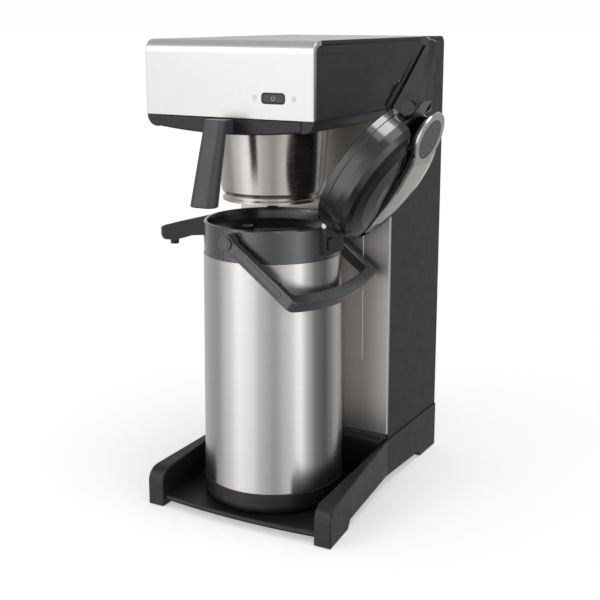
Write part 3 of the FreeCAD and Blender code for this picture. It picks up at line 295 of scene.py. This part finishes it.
def hoop(form, radius, thick, place, start=0.0, sweep=360.0):
    """Round-section ring or arc in the XZ plane of a placing matrix; millimetres and degrees."""
    steps, sides = 40, 8
    closed = sweep >= 360.0
    loops = []
    for i in range(steps if closed else steps + 1):
        turn = math.radians(start + sweep * i / steps)
        loop = []
        for k in range(sides):
            lean = 2.0 * math.pi * k / sides
            out = radius + thick * math.cos(lean)
            spot = Vector((out * math.sin(turn), thick * math.sin(lean), out * math.cos(turn)))
            loop.append(form.verts.new(place @ (spot * MM)))
        loops.append(loop)
    pairs = list(zip(loops, loops[1:])) + ([(loops[-1], loops[0])] if closed else [])
    for a, b in pairs:
        for k in range(sides):
            form.faces.new((a[k], b[k], b[(k + 1) % sides], a[(k + 1) % sides]))
    if not closed:
        form.faces.new(loops[0])
        form.faces.new(reversed(loops[-1]))
    bmesh.ops.recalc_face_normals(form, faces=form.faces)


def pad(form, length, width, thick, place):
    """Flat pill in the XZ plane from X = 0 to its length, proud by thick towards -Y; millimetres."""
    half, steps, inset = width / 2.0, 12, 0.4
    centre = length / 2.0
    turns = [math.pi * i / steps for i in range(steps + 1)]
    rim = [(length - half + half * math.sin(turn), half * math.cos(turn)) for turn in turns]
    rim += [(half - half * math.sin(turn), -half * math.cos(turn)) for turn in turns]
    levels = []
    for y, shrink in ((0.0, 0.0), (-0.7 * thick, 0.0), (-thick, inset)):
        scale_x = 1.0 - shrink / centre
        scale_z = 1.0 - shrink / half
        spots = [Vector((centre + (x - centre) * scale_x, y, z * scale_z)) for x, z in rim]
        levels.append([form.verts.new(place @ (spot * MM)) for spot in spots])
    for a, b in zip(levels, levels[1:]):
        for k in range(len(rim)):
            form.faces.new((a[k], a[(k + 1) % len(rim)], b[(k + 1) % len(rim)], b[k]))
    form.faces.new(levels[-1])
    form.faces.new(reversed(levels[0]))
    bmesh.ops.remove_doubles(form, verts=form.verts, dist=1e-6)
    bmesh.ops.recalc_face_normals(form, faces=form.faces)


def power_symbol():
    """Printed on/off sign on the button: an open ring with a bar."""
    low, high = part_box("power_button")
    face = Matrix.Translation(((low.x + high.x) / 2, low.y - 0.00002, (low.z + high.z) / 2))
    form = bmesh.new()
    hoop(form, 2.0, 0.22, face, start=32.0, sweep=296.0)
    upright = face @ Matrix.Translation((0, 0, 0.9 * MM)) @ Matrix.Rotation(math.radians(-90), 4, "Y")
    pad(form, 2.2, 0.45, 0.2, upright)
    new_piece("power_symbol", form, "clear_lens", "power_key")


# Places of the airpot and of its hanging bail in the frame; millimetres and degrees.
AIRPOT_X, AIRPOT_Y, AIRPOT_TURN = -22.2, -53.2, -3.0
PIVOT_Z, PIVOT_FACE_Y = 329.0, 94.4
BAIL_DROOP, ARM_FACE_Y = 35.5, 92.1
INLAY_START, INLAY_LENGTH, INLAY_WIDTH, INLAY_THICK = 13.5, 72.0, 8.0, 0.5
AIRPOT = (Matrix.Translation((AIRPOT_X * MM, AIRPOT_Y * MM, 0))
          @ Matrix.Rotation(math.radians(AIRPOT_TURN), 4, "Z"))
PIVOT = Matrix.Translation((0, 0, PIVOT_Z * MM))
BAIL = AIRPOT @ PIVOT @ Matrix.Rotation(math.radians(BAIL_DROOP), 4, "Y")


def pivot_rings():
    """Moulded ring on the face of each bail pivot."""
    form = bmesh.new()
    for side in (-1, 1):
        face = Matrix.Translation((0, side * PIVOT_FACE_Y * MM, 0))
        hoop(form, 5.2, 0.35, AIRPOT @ PIVOT @ face)
    new_piece("bail_pivot_rings", form, "bail_plastic", "airpot")


def bail_inlays():
    """Raised flat along the outside of each bail arm."""
    form = bmesh.new()
    for side, half_turn in ((-1, 0.0), (1, math.pi)):
        start = Matrix.Translation((INLAY_START * MM, side * ARM_FACE_Y * MM, 0))
        outward = Matrix.Rotation(half_turn, 4, "X")
        pad(form, INLAY_LENGTH, INLAY_WIDTH, INLAY_THICK, BAIL @ start @ outward)
    new_piece("bail_inlays", form, "bail_plastic", "bail")


power_symbol()
pivot_rings()
bail_inlays()


# ------------------------------------------------------------------ floor, light, camera
# Radiance of the studio round the object: azimuth in degrees from the front (-Y) towards +X.
STUDIO_ROUND = ((-180, 0.75), (-125, 0.55), (-75, 0.42), (-50, 0.85), (-28, 1.38), (-8, 1.22),
                (12, 0.72), (32, 0.50), (55, 0.85), (75, 1.42), (90, 0.62), (105, 0.22), (125, 0.12),
                (150, 0.35), (180, 0.75))
CEILING = 0.46
FLOOR_RADIUS = 60.0
FLOOR_REACH = 3.0
NEAR_SHARE, FAR_SHARE = 0.07, 0.24      # where the floor starts and ends melting into its painted white glow, of its reach


def studio_world():
    """Soft studio: bright to the front left, a strip to the right, dim overhead; white behind."""
    world = bpy.data.worlds.new("studio")
    world.use_nodes = True
    tree = world.node_tree
    nodes, link = tree.nodes, tree.links.new
    background = nodes["Background"]
    split = nodes.new("ShaderNodeSeparateXYZ")
    link(nodes.new("ShaderNodeTexCoord").outputs["Generated"], split.inputs[0])

    def calc(operation, a, b, c=None):
        made = nodes.new("ShaderNodeMath")
        made.operation = operation
        for socket, value in zip(made.inputs, (a, b, c)):
            if isinstance(value, (int, float)):
                socket.default_value = value
            elif value is not None:
                link(value, socket)
        return made.outputs[0]

    def smooth_step(value, low, high, at_low, at_high):
        made = nodes.new("ShaderNodeMapRange")
        made.interpolation_type = "SMOOTHSTEP"
        ends = {"From Min": low, "From Max": high, "To Min": at_low, "To Max": at_high}
        for name, number in ends.items():
            made.inputs[name].default_value = number
        link(value, made.inputs["Value"])
        return made.outputs["Result"]

    front = calc("MULTIPLY", split.outputs["Y"], -1.0)
    azimuth = calc("ARCTAN2", split.outputs["X"], front)
    turn_share = calc("MULTIPLY_ADD", azimuth, 0.5 / math.pi, 0.5)
    ring = nodes.new("ShaderNodeValToRGB")
    ring.color_ramp.interpolation = "EASE"
    elements = ring.color_ramp.elements
    top = max(value for _, value in STUDIO_ROUND)
    elements.remove(elements[1])
    for degrees, value in STUDIO_ROUND:
        share_of_turn = degrees / 360.0 + 0.5
        element = elements[0] if share_of_turn == 0.0 else elements.new(share_of_turn)
        element.color = (value / top, value / top, value / top, 1.0)
    link(turn_share, ring.inputs["Fac"])
    round_light = calc("MULTIPLY", ring.outputs["Color"], top)

    upwards = smooth_step(split.outputs["Z"], 0.30, 0.75, 0.0, 1.0)
    under = smooth_step(split.outputs["Z"], -0.62, -0.36, 0.25, 1.0)
    walls = calc("MULTIPLY", round_light, under)
    to_ceiling = calc("SUBTRACT", CEILING, walls)
    radiance = calc("MULTIPLY_ADD", upwards, to_ceiling, walls)
    path = nodes.new("ShaderNodeLightPath")
    to_white = calc("SUBTRACT", 1.0, radiance)
    link(calc("MULTIPLY_ADD", path.outputs["Is Camera Ray"], to_white, radiance),
         background.inputs["Strength"])
    background.inputs["Color"].default_value = (0.985, 0.99, 1.0, 1.0)
    bpy.context.scene.world = world


def studio_floor():
    """Pale floor that melts into white away from the object: a painted glow, faint near the object and
    full white further out.
    """
    mesh = bpy.data.meshes.new("floor")
    form = bmesh.new()
    bmesh.ops.create_circle(form, cap_ends=True, segments=96, radius=FLOOR_RADIUS)
    form.to_mesh(mesh)
    form.free()
    floor = bpy.data.objects.new("floor", mesh)
    bpy.context.scene.collection.objects.link(floor)
    glowing_floor = Shader("floor_white_glow", (0.9, 0.9, 0.9), roughness=0.9, specular=0.1)
    distance = glowing_floor.node("ShaderNodeVectorMath", operation="LENGTH")
    glowing_floor.join(glowing_floor.place, distance.inputs[0])
    share = glowing_floor.math("DIVIDE", distance.outputs["Value"], FLOOR_REACH)
    # Painted glow: the floor emits white light that grows with distance from the object, while its own
    # colour fades out.
    glowing_floor.set("Emission Color", (1.0, 1.0, 1.0, 1.0))
    glowing_floor.join(glowing_floor.ramp(share, [(NEAR_SHARE, 0.42), (FAR_SHARE, 1.0)]),
               glowing_floor.bsdf.inputs["Emission Strength"])
    glowing_floor.join(glowing_floor.ramp(share, [(NEAR_SHARE, 0.9), (FAR_SHARE, 0.0)]), glowing_floor.bsdf.inputs["Base Color"])
    mesh.materials.append(glowing_floor.material)
    floor.visible_glossy = False


def soft_box(name, place, aim, size, power):
    """Rectangular area light at a place, turned to a point."""
    light = bpy.data.lights.new(name, "AREA")
    light.shape = "RECTANGLE"
    light.size, light.size_y = size
    light.energy = power
    lamp = bpy.data.objects.new(name, light)
    lamp.location = place
    lamp.rotation_euler = (Vector(aim) - Vector(place)).to_track_quat("-Z", "Y").to_euler()
    bpy.context.scene.collection.objects.link(lamp)
    return lamp


def camera():
    """The product view: from the front right, a little above the airpot's rim."""
    azimuth = math.radians(28.99)
    tilt = math.radians(12.11)
    data = bpy.data.cameras.new("camera")
    data.lens = 65.78
    data.sensor_width = 36.0
    data.shift_y = -0.08
    eye = bpy.data.objects.new("camera", data)
    eye.location = (0.6037, -1.1182, 0.5683)
    eye.rotation_euler = (math.radians(90.0) - tilt, 0.0, azimuth)
    bpy.context.scene.collection.objects.link(eye)
    bpy.context.scene.camera = eye


studio_world()
studio_floor()
soft_box("overhead", (0.5, -0.2, 2.3), (0.1, 0.0, 0.4), (0.75, 0.75), 8.0)
sheen = soft_box("over_lid", (0.66, -0.36, 2.2), (0.12, -0.05, 0.45), (1.3, 1.3), 6.0)
sheen.visible_diffuse = False
soft_box("front_left", (-1.3, -1.9, 1.5), (0.0, -0.05, 0.3), (1.0, 1.4), 7.0)
camera()
bpy.context.scene.view_settings.view_transform = "Standard"
